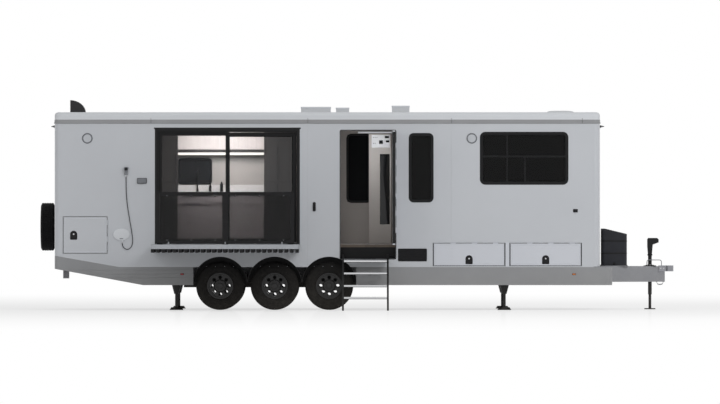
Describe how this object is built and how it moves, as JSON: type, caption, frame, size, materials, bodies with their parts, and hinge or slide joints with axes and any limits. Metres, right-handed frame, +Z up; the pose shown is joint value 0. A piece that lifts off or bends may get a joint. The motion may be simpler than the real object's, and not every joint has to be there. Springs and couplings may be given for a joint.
{
  "type": "travel trailer",
  "caption": "Travel trailer with a fold-down side deck behind a patio opening, entry door with fold-out steps, tandem wheels, A-frame hitch and tongue jack.",
  "frame": {"origin": "centre of the tongue jack's foot on the ground, on the centreline", "axes": "+X forward to the hitch, -Y the door side, +Z up"},
  "size_m": [10.681, 4.554, 3.528],
  "materials": {
    "black_metal": "satin",
    "body_panels": "satin",
    "cabinet": "satin",
    "chassis": "satin",
    "clear_glass": "clear",
    "coupler": "zinc",
    "dark_cabinet": "satin",
    "dark_glass": "smoked",
    "deck": "satin",
    "fabric": "woven",
    "floor_wood": "board",
    "gas_cover": "moulded",
    "hose": "matte",
    "jack": "satin",
    "rim": "gloss black",
    "roof": "satin",
    "roof_plastic": "moulded",
    "running_gear": "matte",
    "skirt": "satin",
    "tyre": "matte",
    "white_plastic": "moulded",
    "worktop": "polished"
  },
  "bodies": {
    "trailer": {"chassis_frame": "chassis", "running_gear": "running_gear", "skirts": "skirt", "belly_pan": "black_metal", "wheel_wells": "black_metal", "floor": "floor_wood", "step_well": "black_metal", "near_wall": "body_panels", "far_wall": "body_panels", "front_wall": "body_panels", "rear_wall": "body_panels", "roof_cap": "roof", "window_frames": "black_metal", "window_glass": "clear_glass", "patio_frame": "black_metal", "hinge_plates": "black_metal", "luggage_bin": "floor_wood", "tongue_jack": "jack", "coupler": "coupler", "gas_cover": "gas_cover", "stabilisers": "black_metal", "spare_tyre": "tyre", "spare_wheel": "rim", "tail_fittings": "chassis", "roof_fittings": "roof_plastic", "shower_box": "white_plastic", "shower_handset": "white_plastic", "shower_hose": "hose", "cabinets": "cabinet", "countertop": "worktop", "tall_cupboards": "dark_cabinet", "partitions": "floor_wood", "mattress": "fabric"},
    "near_front_wheel": {"tyre_near_front": "tyre", "wheel_near_front": "rim"},
    "near_middle_wheel": {"tyre_near_middle": "tyre", "wheel_near_middle": "rim"},
    "near_rear_wheel": {"tyre_near_rear": "tyre", "wheel_near_rear": "rim"},
    "far_front_wheel": {"tyre_far_front": "tyre", "wheel_far_front": "rim"},
    "far_middle_wheel": {"tyre_far_middle": "tyre", "wheel_far_middle": "rim"},
    "far_rear_wheel": {"tyre_far_rear": "tyre", "wheel_far_rear": "rim"},
    "door": {"entry_door": "body_panels", "entry_door_glass": "dark_glass"},
    "steps": {"entry_steps": "black_metal"},
    "deck": {"patio_deck": "deck", "deck_ribs": "black_metal"},
    "railing": {"deck_railing": "black_metal", "railing_panels": "dark_glass"},
    "slider": {"sliding_door": "black_metal", "sliding_glass": "clear_glass"},
    "luggage_door_near_mid_leaf": {"luggage_door_near_mid": "body_panels"},
    "luggage_door_near_nose_leaf": {"luggage_door_near_nose": "body_panels"},
    "luggage_door_far_mid_leaf": {"luggage_door_far_mid": "body_panels"},
    "luggage_door_far_nose_leaf": {"luggage_door_far_nose": "body_panels"},
    "luggage_door_near_rear_leaf": {"luggage_door_near_rear": "body_panels"}
  },
  "joints": [
    {"name": "near_front_wheel_spin", "type": "hinge", "parent": "trailer", "child": "near_front_wheel", "pos_m": [-5.413, -1.1225, 0.403], "axis": [0, 1, 0], "continuous": true},
    {"name": "near_middle_wheel_spin", "type": "hinge", "parent": "trailer", "child": "near_middle_wheel", "pos_m": [-6.327, -1.1225, 0.403], "axis": [0, 1, 0], "continuous": true},
    {"name": "near_rear_wheel_spin", "type": "hinge", "parent": "trailer", "child": "near_rear_wheel", "pos_m": [-7.241, -1.1225, 0.403], "axis": [0, 1, 0], "continuous": true},
    {"name": "far_front_wheel_spin", "type": "hinge", "parent": "trailer", "child": "far_front_wheel", "pos_m": [-5.413, 1.1225, 0.403], "axis": [0, 1, 0], "continuous": true},
    {"name": "far_middle_wheel_spin", "type": "hinge", "parent": "trailer", "child": "far_middle_wheel", "pos_m": [-6.327, 1.1225, 0.403], "axis": [0, 1, 0], "continuous": true},
    {"name": "far_rear_wheel_spin", "type": "hinge", "parent": "trailer", "child": "far_rear_wheel", "pos_m": [-7.241, 1.1225, 0.403], "axis": [0, 1, 0], "continuous": true},
    {"name": "entry_door_hinge", "type": "hinge", "parent": "trailer", "child": "door", "pos_m": [-4.297, -1.3075, 2], "axis": [0, 0, 1], "range_deg": [-90, 80]},
    {"name": "steps_hinge", "type": "hinge", "parent": "trailer", "child": "steps", "pos_m": [-4.8055, -1.2155, 0.905], "axis": [1, 0, 0], "range_deg": [-131, 0]},
    {"name": "deck_hinge", "type": "hinge", "parent": "trailer", "child": "deck", "pos_m": [-7.138, -1.3095, 1.103], "axis": [1, 0, 0], "range_deg": [-90, 0]},
    {"name": "railing_hinge", "type": "hinge", "parent": "deck", "child": "railing", "pos_m": [-7.13, -3.1495, 1.137], "axis": [1, 0, 0], "range_deg": [-90, 0]},
    {"name": "slider_slide", "type": "slide", "parent": "trailer", "child": "slider", "axis": [1, 0, 0], "range_m": [-1.12, 0]},
    {"name": "luggage_door_near_mid_hinge", "type": "hinge", "parent": "trailer", "child": "luggage_door_near_mid_leaf", "pos_m": [-3.068, -1.3035, 1.128], "axis": [1, 0, 0], "range_deg": [-95, 0]},
    {"name": "luggage_door_far_mid_hinge", "type": "hinge", "parent": "trailer", "child": "luggage_door_far_mid_leaf", "pos_m": [-3.068, 1.3035, 1.128], "axis": [-1, 0, 0], "range_deg": [-95, 0]},
    {"name": "luggage_door_near_nose_hinge", "type": "hinge", "parent": "trailer", "child": "luggage_door_near_nose_leaf", "pos_m": [-1.7845, -1.3035, 1.128], "axis": [1, 0, 0], "range_deg": [-95, 0]},
    {"name": "luggage_door_far_nose_hinge", "type": "hinge", "parent": "trailer", "child": "luggage_door_far_nose_leaf", "pos_m": [-1.7845, 1.3035, 1.128], "axis": [-1, 0, 0], "range_deg": [-95, 0]},
    {"name": "luggage_door_near_rear_hinge", "type": "hinge", "parent": "trailer", "child": "luggage_door_near_rear_leaf", "pos_m": [-9.123, -1.3035, 1.257], "axis": [0, 0, 1], "range_deg": [0, 105]}
  ],
  "couplings": [
    {"joint": "railing_hinge", "follows": "deck_hinge", "ratio": 1}
  ]
}
